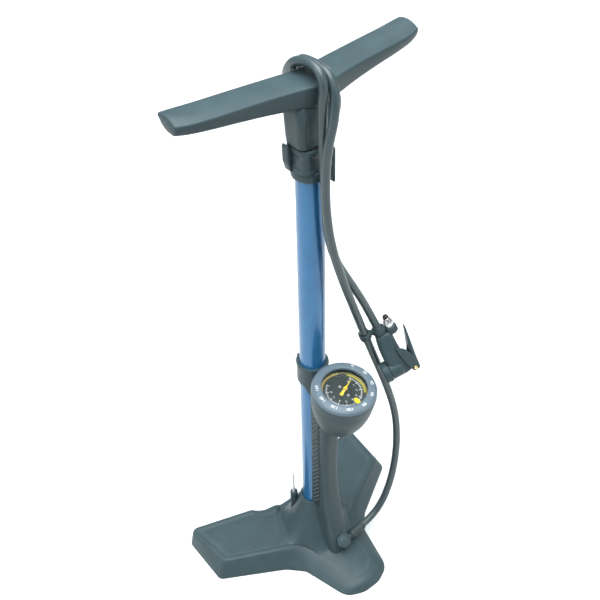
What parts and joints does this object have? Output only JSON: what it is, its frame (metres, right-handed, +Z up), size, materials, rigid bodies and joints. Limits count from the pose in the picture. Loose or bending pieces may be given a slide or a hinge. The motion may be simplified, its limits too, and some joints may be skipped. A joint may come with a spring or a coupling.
{
  "type": "floor bike pump",
  "caption": "Upright floor bike pump with a three-footed base, T handle on a piston rod, dial gauge on a front column and a hose ending in a two-outlet lever head.",
  "frame": {"origin": "on the floor at the barrel's axis", "axes": "+Z up along the barrel, +X along the handle, -Y towards the gauge and the front foot"},
  "size_m": [0.2838, 0.2047, 0.6915],
  "materials": {
    "slate_plastic": "satin moulded nylon",
    "bezel_plastic": "satin moulded",
    "black_plastic": "fine texture",
    "blue_paint": "gloss",
    "hose_rubber": "satin",
    "black_rubber": "matte",
    "steel": "zinc plated",
    "bright_steel": "bright",
    "brass": "machined",
    "dial_black": "printed card",
    "yellow_paint": "satin",
    "clear_lens": "clear"
  },
  "bodies": {
    "pump": {"base": "slate_plastic", "barrel": "blue_paint", "barrel_plug": "black_plastic", "plug_seal": "black_rubber", "base_bolt": "steel", "base_washer": "steel", "top_cap": "slate_plastic", "cap_bushing": "black_plastic", "rod_wiper": "black_rubber", "band_clamp": "slate_plastic", "clamp_screw": "steel", "gauge_column": "slate_plastic", "gauge_housing": "slate_plastic", "gauge_movement": "brass", "bourdon_tube": "brass", "gauge_stem": "brass", "gauge_dial": "dial_black", "dial_screws": "steel", "gauge_lens": "clear_lens", "banjo_bolt": "slate_plastic", "hose_banjo": "steel", "banjo_seals": "black_rubber", "base_ferrule": "black_plastic", "needle_holder": "black_plastic", "valve_spring": "steel"},
    "handle": {"handle_grip": "slate_plastic", "handle_bolt": "steel", "piston_rod": "bright_steel", "top_bumper": "black_rubber", "piston": "black_plastic", "piston_seal": "black_rubber", "piston_nut": "steel", "piston_washer": "steel", "hose": "hose_rubber", "head_ferrule": "black_plastic", "hose_clip": "black_plastic", "head_body": "slate_plastic", "nozzle_collar": "black_plastic", "nozzle_seal": "black_rubber", "second_collar": "black_plastic", "second_chuck": "bright_steel", "chuck_seal": "black_rubber", "lever_pin": "brass"},
    "lever": {"lever": "slate_plastic"},
    "plunger": {"head_plunger": "black_plastic"},
    "pointer": {"gauge_needle": "yellow_paint", "needle_spindle": "brass"},
    "bezel": {"gauge_bezel": "bezel_plastic", "bezel_marker": "yellow_paint"},
    "needle": {"ball_needle": "bright_steel"},
    "valve": {"check_valve": "black_rubber"}
  },
  "joints": [
    {"name": "handle_slide", "type": "slide", "parent": "pump", "child": "handle", "axis": [0, 0, 1], "range_m": [0, 0.43], "deforming": ["hose"]},
    {"name": "lever_hinge", "type": "hinge", "parent": "handle", "child": "lever", "pos_m": [0.09301, -0.06575, 0.30403], "axis": [0.4266, 0.8766, -0.2224], "range_deg": [0, 80]},
    {"name": "plunger_slide", "type": "slide", "parent": "handle", "child": "plunger", "axis": [-0.869, 0.3292, -0.3694], "range_m": [0, 0.003]},
    {"name": "pointer_hinge", "type": "hinge", "parent": "pump", "child": "pointer", "pos_m": [0, -0.0542, 0.3154], "axis": [0, -0.1392, 0.9903], "range_deg": [-270, 0], "stiffness_Nm_per_rad": 0.0005},
    {"name": "bezel_turn", "type": "hinge", "parent": "pump", "child": "bezel", "pos_m": [0, -0.0542, 0.3154], "axis": [0, -0.1392, 0.9903], "continuous": true},
    {"name": "needle_lift", "type": "slide", "parent": "pump", "child": "needle", "axis": [0, 0, 1], "range_m": [0, 0.03]},
    {"name": "valve_slide", "type": "slide", "parent": "pump", "child": "valve", "axis": [0, 0, -1], "range_m": [0, 0.0015], "stiffness_N_per_m": 100, "springref_m": -0.002, "deforming": ["valve_spring"]}
  ],
  "couplings": [
    {"joint": "plunger_slide", "follows": "lever_hinge", "m_per_rad": 0.00214}
  ]
}
